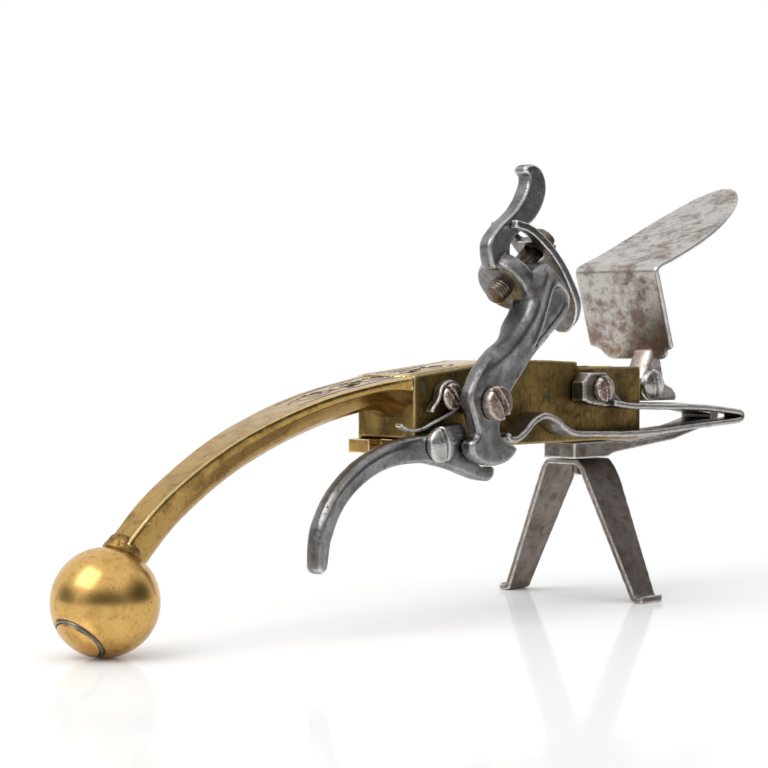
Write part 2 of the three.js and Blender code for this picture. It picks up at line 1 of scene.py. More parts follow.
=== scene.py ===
"""Looks for the flintlock tinder lighter: detailed pieces, metals, floor, light and camera.
Lengths are written in millimetres in the lock's own frame; row() turns them into the row frame."""
import json
import math

import bmesh
import bpy
import numpy as np
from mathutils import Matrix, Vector, geometry, kdtree, noise

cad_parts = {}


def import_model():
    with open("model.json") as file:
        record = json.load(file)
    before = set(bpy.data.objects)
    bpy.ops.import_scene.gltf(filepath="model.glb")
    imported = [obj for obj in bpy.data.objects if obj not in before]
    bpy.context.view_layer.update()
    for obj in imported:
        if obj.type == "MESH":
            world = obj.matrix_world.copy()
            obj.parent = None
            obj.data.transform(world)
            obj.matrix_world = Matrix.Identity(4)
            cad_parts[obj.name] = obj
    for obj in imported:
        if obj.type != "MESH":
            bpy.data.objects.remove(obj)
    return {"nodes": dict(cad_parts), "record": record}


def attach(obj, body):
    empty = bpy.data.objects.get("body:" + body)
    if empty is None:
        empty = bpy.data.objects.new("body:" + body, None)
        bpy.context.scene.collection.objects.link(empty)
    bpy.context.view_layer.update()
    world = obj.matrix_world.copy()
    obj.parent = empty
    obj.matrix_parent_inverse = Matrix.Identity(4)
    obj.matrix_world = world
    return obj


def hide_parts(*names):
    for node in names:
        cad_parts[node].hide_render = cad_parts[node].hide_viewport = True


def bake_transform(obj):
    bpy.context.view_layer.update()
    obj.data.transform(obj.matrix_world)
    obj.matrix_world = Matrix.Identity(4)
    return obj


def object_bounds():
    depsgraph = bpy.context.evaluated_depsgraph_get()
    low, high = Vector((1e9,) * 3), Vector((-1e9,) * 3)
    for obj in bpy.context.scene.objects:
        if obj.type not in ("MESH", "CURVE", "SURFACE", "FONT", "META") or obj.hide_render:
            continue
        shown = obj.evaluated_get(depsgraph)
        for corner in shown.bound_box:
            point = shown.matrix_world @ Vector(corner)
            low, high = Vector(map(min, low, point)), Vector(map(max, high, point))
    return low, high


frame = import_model()
cad_box = [list(corner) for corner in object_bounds()]

MM = 0.001
SHIFT = 5.6  # the lock frame's origin lies this far behind the row frame's, along X

# ---- Lock dimensions, as the CAD has them ---------------------------------------------------

BALL = Vector((-77.35, 0.0, 9.15))
BALL_RADIUS = 9.15
TENON = Vector((0.396, 0.0, 0.918))
PLUG_ANGLE = math.pi * 1.253
COCK_PIVOT = (3.0, 40.5)
TRIGGER_PIVOT = (-8.0, 33.1)
SEAR_SCREW = (-2.8, 41.7)
MAIN_SCREW = (39.5, 42.4)
FRIZZEN_PIVOT = (61.3, 42.7)
FRIZZEN_OPEN = math.radians(71.8)
PLATE_INNER = -7.6
COCK_OUTER = -14.45
COCK_INNER = -11.2
SHANK_TIP = -5.9
JAW = Vector((14.0, -8.0, 63.0))
JAW_ALONG = Vector((0.8, 0.0, 0.6))
JAW_UP = Vector((-0.6, 0.0, 0.8))
ACROSS = Vector((0.0, 1.0, 0.0))


def row(point):
    """A point of the lock frame in millimetres, as a row-frame vector in metres."""
    x, y, z = point
    return Vector(((x - SHIFT) * MM, y * MM, z * MM))


def jaw(along, up, y=0.0):
    """A point measured from the jaw screw's axis: along it, square to it and across."""
    return JAW + JAW_ALONG * along + JAW_UP * up + ACROSS * y


# ---- Materials ------------------------------------------------------------------------------


class Nodes:
    """A short way to write a material's node tree."""

    def __init__(self, name):
        self.material = bpy.data.materials.new(name)
        self.material.use_nodes = True
        self.tree = self.material.node_tree
        self.shader = self.tree.nodes["Principled BSDF"]
        self.place = self.add("ShaderNodeTexCoord").outputs["Object"]

    def add(self, kind, **settings):
        node = self.tree.nodes.new(kind)
        for key, value in settings.items():
            setattr(node, key, value)
        return node

    def link(self, a, b):
        self.tree.links.new(a, b)

    def noise(self, scale, detail=4.0, rough=0.6, stretch=(1, 1, 1), distortion=0.0):
        mapping = self.add("ShaderNodeMapping")
        mapping.inputs["Scale"].default_value = stretch
        self.link(self.place, mapping.inputs["Vector"])
        node = self.add("ShaderNodeTexNoise")
        node.inputs["Scale"].default_value = scale
        node.inputs["Detail"].default_value = detail
        node.inputs["Roughness"].default_value = rough
        node.inputs["Distortion"].default_value = distortion
        self.link(mapping.outputs["Vector"], node.inputs["Vector"])
        return node.outputs["Fac"]

    def level(self, value, low, high, to_low=0.0, to_high=1.0):
        """Turns low..high into to_low..to_high and holds it there beyond."""
        node = self.add("ShaderNodeMapRange", clamp=True)
        for name, number in (("From Min", low), ("From Max", high), ("To Min", to_low), ("To Max", to_high)):
            node.inputs[name].default_value = number
        self.link(value, node.inputs["Value"])
        return node.outputs["Result"]

    def math(self, operation, a, b):
        node = self.add("ShaderNodeMath", operation=operation)
        for socket, value in zip(node.inputs, (a, b)):
            if isinstance(value, (int, float)):
                socket.default_value = value
            else:
                self.link(value, socket)
        return node.outputs["Value"]

    def mix(self, factor, a, b):
        node = self.add("ShaderNodeMix", data_type="RGBA")
        for socket, value in zip((node.inputs[0], node.inputs[6], node.inputs[7]), (factor, a, b)):
            if isinstance(value, (int, float)):
                socket.default_value = value
            elif isinstance(value, tuple):
                socket.default_value = (*value, 1)
            else:
                self.link(value, socket)
        return node.outputs[2]

    def along(self, axis):
        """The place along one row axis, in metres."""
        node = self.add("ShaderNodeSeparateXYZ")
        self.link(self.place, node.inputs[0])
        return node.outputs[axis]

    def bump(self, height, strength, distance):
        node = self.add("ShaderNodeBump")
        node.inputs["Strength"].default_value = strength
        node.inputs["Distance"].default_value = distance * MM
        self.link(height, node.inputs["Height"])
        self.link(node.outputs["Normal"], self.shader.inputs["Normal"])

    def curvature(self):
        """How sharply the skin bends out (above 0) or in (below 0), per millimetre, from
        mark_bend_for_wear_and_shade; it drives the worn edges and the painted shade in hollows.
        """
        return self.add("ShaderNodeAttribute", attribute_name="bend").outputs["Fac"]


RUST = (0.31, 0.15, 0.08)


def metal(name, clean, dirt_and_shade, stain, wear, rough=(0.22, 0.5), pits=0.5, grain=0.0, patches=(0.42, 0.62),
          size=1.0, stains=0.7, edge=(0.35, 1.5), shade_hollows=(-0.25, -1.2), verdigris=None, rust=None):
    """Worn metal: clean and dirt patches, stains and pits, file lines, bright worn edges, and painted shade
    darkening the hollows.
    """
    n = Nodes(name)
    broad = n.noise(130 / size, 5.0, 0.62)
    mid = n.noise(480 / size, 5.0, 0.62, distortion=0.5)
    fine = n.noise(1500 / size, 6.0, 0.7)
    field = n.math("ADD", n.math("MULTIPLY", broad, 0.6), n.math("MULTIPLY", mid, 0.4))
    patch = n.level(field, *patches)
    colour = n.mix(patch, clean, dirt_and_shade)
    colour = n.mix(n.level(mid, 0.56, 0.70, 0.0, stains), colour, stain)
    if verdigris:
        colour = n.mix(n.level(n.noise(260, 4.0, 0.65), 0.60, 0.72, 0.0, 0.7), colour, verdigris)
    if rust:
        low, high = rust
        reach = n.math("MULTIPLY", n.level(n.along(2), high * MM, low * MM), n.level(mid, 0.42, 0.58))
        reach = n.math("MULTIPLY", reach, n.level(n.along(2), (low - 5.0) * MM, low * MM, 0.25, 1.0))
        colour = n.mix(n.math("MULTIPLY", reach, 0.7), colour, RUST)
    speck = n.level(fine, 0.585, 0.66)
    colour = n.mix(n.math("MULTIPLY", speck, 0.6), colour, tuple(c * 0.3 for c in dirt_and_shade))
    lines = None
    if grain:
        lines = n.noise(500, 3.0, 0.65, stretch=(3.0, 1.0, 0.16))
        colour = n.mix(n.level(lines, 0.5, 0.7, 0.0, 0.45), colour, tuple(c * 0.55 for c in dirt_and_shade))
    point = n.curvature()
    # Painted shade: where the skin bends inwards the colour is darkened to a fifth of the dirt colour,
    # standing in for shade in hollows and slots.
    colour = n.mix(n.level(point, *shade_hollows, 0.0, 0.85), colour, tuple(c * 0.2 for c in dirt_and_shade))
    rub = n.math("MULTIPLY", n.level(point, *edge), n.level(mid, 0.36, 0.52, 0.45, 1.0))
    colour = n.mix(rub, colour, wear)
    n.link(colour, n.shader.inputs["Base Color"])
    n.shader.inputs["Metallic"].default_value = 1.0
    low, high = rough
    shine = n.math("ADD", n.math("MULTIPLY", patch, 0.6), n.math("MULTIPLY", fine, 0.4))
    n.link(n.level(shine, 0.0, 1.0, low, high), n.shader.inputs["Roughness"])
    height = n.math("ADD", n.math("MULTIPLY", speck, -0.7), n.math("MULTIPLY", mid, 0.5))
    if lines:
        height = n.math("ADD", height, n.math("MULTIPLY", lines, grain))
    n.bump(height, pits, 0.1)
    return n.material


LOOKS = {
    "box_brass": metal(
        "box_patina", (0.30, 0.205, 0.062), (0.125, 0.08, 0.026), (0.065, 0.045, 0.022), (0.78, 0.60, 0.29),
        rough=(0.32, 0.58), pits=0.8, grain=1.0, patches=(0.38, 0.60), verdigris=(0.10, 0.19, 0.13),
    ),
    "handle_brass": metal(
        "handle_brass", (0.48, 0.305, 0.095), (0.28, 0.16, 0.045), (0.15, 0.08, 0.025), (0.96, 0.78, 0.44),
        rough=(0.14, 0.34), pits=0.14, patches=(0.46, 0.66), stains=0.4,
    ),
    "ball_brass": metal(
        "ball_brass", (0.70, 0.44, 0.145), (0.50, 0.28, 0.075), (0.26, 0.135, 0.04), (0.96, 0.78, 0.44),
        rough=(0.2, 0.34), pits=0.10, patches=(0.48, 0.68), stains=0.3,
    ),
    "lock_steel": metal(
        "lock_steel", (0.30, 0.296, 0.295), (0.145, 0.14, 0.138), (0.14, 0.10, 0.08), (0.92, 0.92, 0.91),
        rough=(0.22, 0.44), pits=0.45, patches=(0.40, 0.60),
    ),
    "spring_steel": metal(
        "spring_steel", (0.27, 0.245, 0.225), (0.115, 0.10, 0.09), (0.135, 0.085, 0.06), (0.90, 0.88, 0.85),
        rough=(0.25, 0.48), pits=0.65,
    ),
    "screw_steel": metal(
        "worn_screw", (0.38, 0.29, 0.245), (0.16, 0.11, 0.09), (0.21, 0.105, 0.06), (0.94, 0.87, 0.80),
        # Stronger painted shade in the screw slots.
        rough=(0.22, 0.44), pits=0.5, size=0.6, shade_hollows=(-0.1, -0.8),
    ),
    "bright_steel": metal(
        "bright_steel", (0.50, 0.49, 0.475), (0.29, 0.27, 0.25), (0.30, 0.15, 0.08), (0.94, 0.94, 0.93),
        rough=(0.2, 0.38), pits=0.2, stains=0.4,
    ),
    "frizzen_steel": metal(
        "frizzen_steel", (0.52, 0.49, 0.46), (0.24, 0.195, 0.17), (0.25, 0.145, 0.095), (0.92, 0.90, 0.88),
        rough=(0.26, 0.5), pits=0.45, patches=(0.47, 0.60), stains=0.5, rust=(49.5, 56.5),
    ),
    "stand_steel": metal(
        "stand_steel", (0.27, 0.23, 0.205), (0.125, 0.10, 0.088), (0.15, 0.09, 0.06), (0.88, 0.84, 0.80),
        rough=(0.32, 0.54), pits=0.6,
    ),
}
RING = metal(
    "ring_steel", (0.34, 0.33, 0.32), (0.14, 0.13, 0.12), (0.10, 0.07, 0.05), (0.62, 0.61, 0.60),
    rough=(0.2, 0.4), pits=0.3, edge=(1.4, 5.0),
)
THREAD = metal(
    "thread_steel", (0.25, 0.20, 0.17), (0.11, 0.08, 0.065), (0.13, 0.08, 0.05), (0.62, 0.56, 0.50),
    rough=(0.26, 0.48), pits=0.5, size=0.6, edge=(1.6, 5.0),
)
BRAZE = metal(
    "braze", (0.34, 0.20, 0.06), (0.14, 0.08, 0.03), (0.07, 0.045, 0.02), (0.70, 0.50, 0.22),
    rough=(0.36, 0.6), pits=0.9, size=0.5, edge=(0.9, 3.0),
)
ENGRAVED = metal(
    "engraved_dirt", (0.17, 0.105, 0.045), (0.1, 0.06, 0.027), (0.05, 0.03, 0.015), (0.12, 0.08, 0.04),
    rough=(0.5, 0.8), pits=0.2,
)
BODY_OF = {node: body for body, nodes in frame["record"]["behaviour"]["bodies"].items() for node in nodes}
SLOT_OF = {entry["node"]: entry["material_slot"] for entry in frame["record"]["subparts"]}

# ---- Mesh helpers ---------------------------------------------------------------------------


def item_from(name, mesh_data):
    """A new object of the scene that shows a mesh."""
    item = bpy.data.objects.new(name, mesh_data)
    bpy.context.scene.collection.objects.link(item)
    return item


def bake(item):
    """Applies the modifiers and gives the object that plain mesh."""
    graph = bpy.context.evaluated_depsgraph_get()
    data = bpy.data.meshes.new_from_object(item.evaluated_get(graph))
    item.modifiers.clear()
    item.data = data


def soften(item, voxel, smoothing=6, keep=0.5):
    """Turns a closed shape into one even skin with worn, rounded edges."""
    remesh = item.modifiers.new("remesh", "REMESH")
    remesh.mode = "VOXEL"
    remesh.voxel_size = voxel * MM
    remesh.use_smooth_shade = True
    smooth = item.modifiers.new("smooth", "SMOOTH")
    smooth.factor = keep
    smooth.iterations = smoothing
    bake(item)


def dent(item, depth, scale, fine=0.0):
    """Pushes the skin in and out a little, so that no face is machine-flat."""
    normals = [vertex.normal.copy() for vertex in item.data.vertices]
    moved = []
    for vertex, normal in zip(item.data.vertices, normals):
        at = vertex.co / MM
        push = noise.noise(at * scale) * depth
        if fine:
            push -= max(0.0, noise.noise(at * scale * 6.0) - 0.25) * fine
        moved.extend(vertex.co + normal * push * MM)
    item.data.vertices.foreach_set("co", moved)
    item.data.update()


def hold_inside(item):
    """Keeps a dented skin within the CAD's own box."""
    lowest, highest = cad_box
    for vertex in item.data.vertices:
        vertex.co = [min(max(c, low), high) for c, low, high in zip(vertex.co, lowest, highest)]


def mark_bend_for_wear_and_shade(item):
    """Stores how sharply the skin bends at each vertex, evened out over its neighbours; the metals use it for
    worn edges and for painted shade in hollows.
    """
    data = item.data
    count = len(data.vertices)
    place = np.empty(count * 3)
    normal = np.empty(count * 3)
    ends = np.empty(len(data.edges) * 2, dtype=np.int64)
    data.vertices.foreach_get("co", place)
    data.vertex_normals.foreach_get("vector", normal)
    data.edges.foreach_get("vertices", ends)
    place, normal = place.reshape(-1, 3) / MM, normal.reshape(-1, 3)
    a, b = ends[0::2], ends[1::2]
    apart = place[b] - place[a]
    square = np.maximum((apart ** 2).sum(1), 1e-4)
    links = np.maximum(np.bincount(a, minlength=count) + np.bincount(b, minlength=count), 1)
    bend = np.bincount(a, -2 * (normal[a] * apart).sum(1) / square, count)
    bend += np.bincount(b, 2 * (normal[b] * apart).sum(1) / square, count)
    bend /= links
    for _ in range(4):
        around = np.bincount(a, bend[b], count) + np.bincount(b, bend[a], count)
        bend = 0.4 * bend + 0.6 * around / links
    stored = data.attributes.new("bend", "FLOAT", "POINT")
    stored.data.foreach_set("value", bend.astype(np.float32))


def adopt(piece, body, slot, replaces=(), look=None):
    """Gives a finished piece its material (its slot's look unless another look is given) and its body, and
    hides the nodes it stands for.
    """
    piece.data.materials.clear()
    piece.data.materials.append(look or LOOKS[slot])
    for polygon in piece.data.polygons:
        polygon.use_smooth = True
    for node in replaces:
        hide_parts(node)
    hold_inside(piece)
    mark_bend_for_wear_and_shade(piece)
    if body:
        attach(piece, body)


def worn_copy(node, voxel, smoothing=6, depth=0.03, scale=0.35, fine=0.0):
    """A worn skin over a CAD node's own shape."""
    item = item_from(node + "_worn", frame["nodes"][node].data.copy())
    soften(item, voxel, smoothing)
    dent(item, depth, scale, fine)
    adopt(item, BODY_OF[node], SLOT_OF[node], (node,))


def smooth_line(points, per=8, closed=False):
    """Points of a Catmull-Rom curve through the given ones."""
    points = [Vector(p) for p in points]
    count = len(points)
    made = []
    for i in range(count if closed else count - 1):
        if closed:
            a, b, c, d = (points[(i + k) % count] for k in (-1, 0, 1, 2))
        else:
            a, b, c, d = (points[min(max(i + k, 0), count - 1)] for k in (-1, 0, 1, 2))
        for k in range(per):
            t = k / per
            made.append(0.5 * (2 * b + (c - a) * t + (2 * a - 5 * b + 4 * c - d) * t * t
                               + (3 * b - a - 3 * c + d) * t ** 3))
    if not closed:
        made.append(points[-1])
    return made


def resample(points, step, closed=True):
    """Even points along a line, keeping its corners."""
    made = []
    ring = list(points) + ([points[0]] if closed else [])
    for a, b in zip(ring, ring[1:]):
        parts = max(1, round((b - a).length / step))
        made.extend(a.lerp(b, k / parts) for k in range(parts))
    if not closed:
        made.append(ring[-1])
    return made


def distance_to(line, point):
    """The shortest distance in the plane from a point to an open line."""
    best = 1e9
    for a, b in zip(line, line[1:]):
        _, share = geometry.intersect_point_line(point.to_3d(), a.to_3d(), b.to_3d())
        near = a.lerp(b, min(max(share, 0.0), 1.0))
        best = min(best, (near - point).length)
    return best


def ramp(value, low, high):
    """A soft step from 0 at low to 1 at high."""
    t = min(max((value - low) / (high - low), 0.0), 1.0)
    return t * t * (3 - 2 * t)


def contains(ring, point):
    """Whether a closed outline goes round a point of the plane."""
    inside = False
    j = len(ring) - 1
    for i, a in enumerate(ring):
        b = ring[j]
        if (a.y > point.y) != (b.y > point.y):
            if point.x < (b.x - a.x) * (point.y - a.y) / (b.y - a.y) + a.x:
                inside = not inside
        j = i
    return inside


def relief(outline, low, high, edge, step, place):
    """A closed plate over a flat outline. low and high give its two faces from (u, v, distance to the
    rim), edge is the radius worn onto both rims, and place turns (u, v, w) into millimetres."""
    rim = resample([Vector(p) for p in outline], step)
    dense = resample(rim, step / 3)
    close = kdtree.KDTree(len(dense))
    for i, p in enumerate(dense):
        close.insert(p.to_3d(), i)
    close.balance()
    inner = []
    u0, u1 = min(p.x for p in rim), max(p.x for p in rim)
    v0, v1 = min(p.y for p in rim), max(p.y for p in rim)
    for j in range(int((v1 - v0) / (step * 0.87)) + 1):
        for i in range(int((u1 - u0) / step) + 2):
            p = Vector((u0 + (i + 0.5 * (j % 2)) * step, v0 + j * step * 0.87))
            if contains(rim, p) and close.find(p.to_3d())[2] > step * 0.55:
                inner.append(p)
    loop = [(i, (i + 1) % len(rim)) for i in range(len(rim))]
    points, _, faces, _, _, _ = geometry.delaunay_2d_cdt(rim + inner, loop, [], 1, 1e-5)
    mesh = bmesh.new()
    sides = []
    for face_of, sign in ((low, 1.0), (high, -1.0)):
        made = []
        for p in points:
            d = close.find(p.to_3d())[2]
            t = 1.0 - min(d / edge, 1.0)
            worn = edge * (1.0 - math.sqrt(max(0.0, 1.0 - t * t)))
            made.append(mesh.verts.new(row(place(p.x, p.y, face_of(p.x, p.y, d) + sign * worn))))
        sides.append(made)
    seen = {}
    for face in faces:
        for side in sides:
            mesh.faces.new([side[i] for i in face])
        for a, b in zip(face, face[1:] + face[:1]):
            key = (min(a, b), max(a, b))
            seen[key] = seen.get(key, 0) + 1
    for (a, b), times in seen.items():
        if times == 1:
            mesh.faces.new((sides[0][a], sides[0][b], sides[1][b], sides[1][a]))
    bmesh.ops.recalc_face_normals(mesh, faces=mesh.faces)
    return mesh


def plate(x, z, w):
    """A relief that lies flat against the lock: u is X, v is Z and w is Y."""
    return (x, w, z)


def tube(mesh, rings):
    """Joins rings of corners into one closed skin with flat ends."""
    for a, b in zip(rings, rings[1:]):
        for k in range(len(a)):
            n = (k + 1) % len(a)
            mesh.faces.new((a[k], a[n], b[n], b[k]))
    mesh.faces.new(rings[0])
    mesh.faces.new(rings[-1])
    bmesh.ops.recalc_face_normals(mesh, faces=mesh.faces)
    return mesh


def band(line, thick, y0, y1, chamfer=0.25, crown=0.0):
    """A strip of metal bent along a line in (X, Z), with chamfered edges; thick gives its thickness."""
    mesh = bmesh.new()
    rings = []
    last = len(line) - 1
    for i, at in enumerate(line):
        ahead = (line[min(i + 1, last)] - line[max(i - 1, 0)]).normalized()
        up = Vector((-ahead.y, ahead.x))
        half = thick(i / last) / 2
        cut = min(chamfer, half * 0.7)
        middle = (y0 + y1) / 2
        section = (
            (y0 + cut, -half), (middle, -half - crown), (y1 - cut, -half), (y1, -half + cut),
            (y1, half - cut), (y1 - cut, half), (middle, half + crown), (y0 + cut, half),
            (y0, half - cut), (y0, -half + cut),
        )
        rings.append([mesh.verts.new(row((at.x + up.x * h, y, at.y + up.y * h))) for y, h in section])
    return tube(mesh, rings)


def lathe(profile, start, axis, segments=48):
    """A turned shape: profile holds (distance along the axis, radius) from one end to the other."""
    axis = Vector(axis).normalized()
    side = axis.orthogonal().normalized()
    other = axis.cross(side)
    mesh = bmesh.new()
    rings = []
    for along, radius in profile:
        ring = []
        for k in range(segments):
            turn = 2 * math.pi * k / segments
            out = side * math.cos(turn) + other * math.sin(turn)
            ring.append(mesh.verts.new(row(Vector(start) + axis * along + out * max(radius, 0.01))))
        rings.append(ring)
    return tube(mesh, rings)


def finish_mesh(name, *meshes):
    """One object out of one or more meshes."""
    whole = bmesh.new()
    for part in meshes:
        data = bpy.data.meshes.new("part")
        part.to_mesh(data)
        part.free()
        whole.from_mesh(data)
        bpy.data.meshes.remove(data)
    data = bpy.data.meshes.new(name)
    whole.to_mesh(data)
    whole.free()
    return item_from(name, data)


for node_name, slot in SLOT_OF.items():
    node = frame["nodes"][node_name]
    node.data.materials.clear()
    node.data.materials.append(LOOKS[slot])

# ---- Cock -----------------------------------------------------------------------------------

COCK_SIDE = [
    (3.9, 50.3), (8.6, 52.9), (12.4, 56.4), (14.4, 59.6), (14.2, 63.0), (16.4, 66.0), (19.4, 66.9),
    (23.4, 64.4), (26.0, 61.8), (26.5, 59.6), (25.2, 56.9), (22.3, 54.4), (17.0, 50.2), (11.6, 45.4),
    (8.7, 42.4), (6.2, 38.4), (5.5, 35.2), (7.0, 33.4), (10.1, 32.2), (10.4, 31.2), (8.1, 29.5),
    (5.2, 28.8), (2.2, 28.9), (-0.6, 29.8), (-2.2, 31.2), (-2.5, 33.2), (-0.8, 34.8), (-1.9, 38.2),
    (-2.9, 41.0), (-2.4, 43.4), (0.2, 47.0),
]
NECK_RIDGE = [(2.6, 45.0), (6.4, 49.2), (11.4, 53.4), (14.6, 57.2), (16.6, 61.4), (18.0, 64.8)]
LEAF_PANEL = [
    (14.6, 50.2), (17.0, 54.6), (18.9, 59.2), (20.4, 62.2), (22.6, 62.6), (24.8, 60.9), (25.3, 59.0),
    (24.2, 57.1), (21.4, 54.7), (18.2, 52.0),
]
COMB = [
    (9.2, 65.6), (7.9, 68.4), (8.1, 71.0), (11.0, 74.0), (15.3, 77.0), (18.1, 80.4), (19.1, 83.2),
    (17.9, 84.2), (18.2, 85.4), (20.4, 85.9), (22.8, 84.9), (24.1, 82.2), (23.5, 78.8), (21.0, 75.4),
    (16.8, 72.8), (14.0, 70.4), (13.6, 66.6),
]


def cock():
    """The cock: ridged neck with a leaf panel, comb, lower jaw disc and pivot boss."""
    side = smooth_line(COCK_SIDE, 4, closed=True)
    ridge = smooth_line(NECK_RIDGE, 3)
    panel = smooth_line(LEAF_PANEL, 4, closed=True)
    panel_line = panel + panel[:1]

    def outer(x, z, d):
        at = Vector((x, z))
        rise = ramp(z, 44.5, 50.0)
        crown = 0.9 * rise * math.exp(-((distance_to(ridge, at) / 1.7) ** 2))
        crown -= 0.5 * rise * (1 - ramp(d, 0, 2.6))
        border = distance_to(panel_line, at)
        lip = 0.42 * math.exp(-((border / 0.42) ** 2))
        sunk = 0.5 * ramp(border, 0.1, 0.8) if contains(panel, at) else 0.0
        return COCK_OUTER - crown - lip * ramp(z, 50.0, 51.5) + sunk

    def inner(x, z, d):
        return COCK_INNER + 2.4 * ramp(z, 51.0, 55.5)

    arm = relief(side, outer, inner, 0.75, 0.34, plate)
    comb = relief(
        smooth_line(COMB, 5, closed=True),
        lambda x, z, d: -9.6 - 0.25 * ramp(z, 70, 82), lambda x, z, d: -6.5, 0.4, 0.34, plate,
    )
    disc = lathe([(-1.5, 0.01), (-1.5, 4.7), (-1.1, 5.6), (0.4, 6.0), (2.0, 5.9), (2.3, 5.2), (2.3, 0.01)],
                 JAW, JAW_ALONG)
    boss = lathe([(0, 2.3), (3.9, 2.3)], (COCK_PIVOT[0], COCK_INNER - 0.2, COCK_PIVOT[1]), (0, 1, 0), 32)
    item = finish_mesh("cock_body", arm, comb, disc, boss)
    soften(item, 0.2, 10)
    dent(item, 0.035, 0.5, 0.03)
    adopt(item, "cock", "lock_steel", ("cock",))


# ---- Trigger --------------------------------------------------------------------------------

TRIGGER_UPPER = [
    (-7.0, 35.9), (-10.4, 34.9), (-14.8, 34.6), (-21.0, 33.4), (-28.2, 30.4), (-34.4, 25.6),
    (-38.2, 19.6),
]
TRIGGER_TAIL = [(-39.0, 13.4), (-38.5, 11.8), (-36.9, 11.4), (-35.5, 12.6)]
TRIGGER_SPINE = [(-15, 32.6), (-21, 31.8), (-28, 28.9), (-34.0, 24.4), (-37.4, 18.6), (-38.0, 12.2)]
TRIGGER_LOWER = [
    (-34.6, 17.0), (-31.6, 22.4), (-26.4, 26.6), (-19.6, 29.2), (-12.4, 29.8), (-6.8, 29.0),
    (-2.8, 28.0), (0.6, 26.9), (4.2, 25.9), (7.2, 25.8), (8.1, 28.2), (5.0, 28.4), (1.8, 30.4),
    (0.7, 33.6), (-0.4, 36.5), (-3.4, 36.6),
]


def trigger():
    """The trigger and its sear nose, with a ridge down the tail."""
    side = smooth_line(TRIGGER_UPPER + TRIGGER_TAIL + TRIGGER_LOWER, 5, closed=True)
    spine = smooth_line(TRIGGER_SPINE, 3)

    def outer(x, z, d):
        tail = ramp(-x, 13.0, 20.0)
        crown = 0.7 * tail * math.exp(-((distance_to(spine, Vector((x, z))) / 1.1) ** 2))
        return -10.8 + 0.5 * tail - crown

    item = finish_mesh(
        "trigger_lever", relief(side, outer, lambda x, z, d: PLATE_INNER, 0.7, 0.36, plate))
    soften(item, 0.2, 10)
    dent(item, 0.03, 0.4, 0.02)
    adopt(item, "trigger", "lock_steel", ("trigger",))


# ---- Screws ---------------------------------------------------------------------------------


def screw_head(radius, inner, outer, slot_turn, slot_half, seed, dome, place, rough=1.0):
    """A domed head with one worn slot."""
    turns = [2 * math.pi * k / 72 for k in range(72)]
    ring = [(radius * math.cos(turn), radius * math.sin(turn)) for turn in turns]
    across = Vector((-math.sin(slot_turn), math.cos(slot_turn)))

    def face(u, v, d):
        bulge = dome * (1 - (math.hypot(u, v) / radius) ** 2)
        wobble = 0.12 * rough * noise.noise(Vector((u * 1.4, v * 1.4, seed)))
        off = abs(Vector((u, v)).dot(across) + wobble)
        slot = 0.85 * (1 - ramp(off, slot_half, slot_half + 0.22))
        burr = 0.1 * math.exp(-(((off - slot_half - 0.3) / 0.16) ** 2))
        chip = 0.08 * rough * noise.noise(Vector((u * 2.6, v * 2.6, seed + 5)))
        return outer + dome * 0.4 - bulge + slot - burr + chip

    return relief(ring, face, lambda u, v, d: inner, 0.3, 0.17, place)


def screw(node, centre, radius, inner, outer, shank, turn, slot_half, seed,
          tip=SHANK_TIP, dome=0.7, rough=1.0):
    """A slotted screw along Y, its slot turned by the given degrees."""
    head = screw_head(radius, inner, outer, math.radians(turn), slot_half, seed, dome,
                      lambda u, v, w: (centre[0] + u, w, centre[1] + v), rough)
    stem = lathe([(0, shank), (tip - inner, shank)], (centre[0], inner, centre[1]), (0, 1, 0), 24)
    item = finish_mesh(node + "_worn", head, stem)
    adopt(item, BODY_OF[node], SLOT_OF[node], (node,))


THREAD_PITCH = 0.72


def jaw_screw():
    """The jaw screw: slotted head, square shank and a threaded end."""
    head = screw_head(2.9, -12.3, -14.3, 0.3, 0.42, 6.0, 0.35, lambda u, v, w: jaw(-w, v, u))
    shank = lathe([(0, 1.9), (9.8, 1.9)], jaw(2.6, 0), JAW_ALONG, 4)
    thread = [(0, 0.01), (0, 1.5)]
    for k in range(9):
        at = k * THREAD_PITCH
        thread.extend([(0.2 + at, 1.72), (0.5 + at, 2.1), (0.62 + at, 2.1), (0.85 + at, 1.74)])
    thread.extend([(7.0, 1.7), (7.0, 0.01)])
    item = finish_mesh("jaw_screw_cut", head, shank, lathe(thread, jaw(-4.4, 0), JAW_ALONG, 40))
    adopt(item, "jaw_screw", "screw_steel", ("jaw_screw",), THREAD)


# ---- Springs --------------------------------------------------------------------------------

MAIN_LINE = [
    (42.0, 39.55), (47.0, 38.9), (52.0, 38.65), (61.0, 38.35), (71.0, 38.0), (79.0, 37.3),
    (83.0, 36.85), (84.9, 36.6), (85.7, 36.25), (85.85, 35.75), (85.6, 35.3), (84.6, 34.98),
    (82.5, 34.8), (70.0, 34.2), (52.0, 33.3), (36.0, 33.6), (30.4, 33.9), (27.2, 34.9), (24.3, 36.7),
    (20.9, 37.6), (17.7, 36.6), (15.2, 34.7), (13.0, 33.5), (11.3, 33.35), (10.2, 33.75),
    (10.3, 34.5),
]
EAR = [
    (34.2, 40.2), (34.2, 43.8), (36.2, 45.6), (41.2, 45.7), (43.6, 44.0), (44.3, 41.4), (46.4, 39.9),
    (46.4, 38.4), (40.0, 38.9), (36.2, 39.4),
]


def mainspring():
    """The whole mainspring as one bent bar."""
    line = resample(smooth_line(MAIN_LINE, 6), 0.5, closed=False)
    bar = band(line, lambda t: 1.28 - 0.1 * math.sin(math.pi * t), -12.6, PLATE_INNER, 0.3)
    ear = relief(EAR, lambda x, z, d: -11.0, lambda x, z, d: PLATE_INNER, 0.35, 0.4, plate)
    item = finish_mesh("mainspring_bar", bar, ear)
    soften(item, 0.18, 4)
    dent(item, 0.05, 0.5, 0.09)
    adopt(item, None, "spring_steel", ("mainspring", "mainspring_leaf"))
    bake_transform(item)


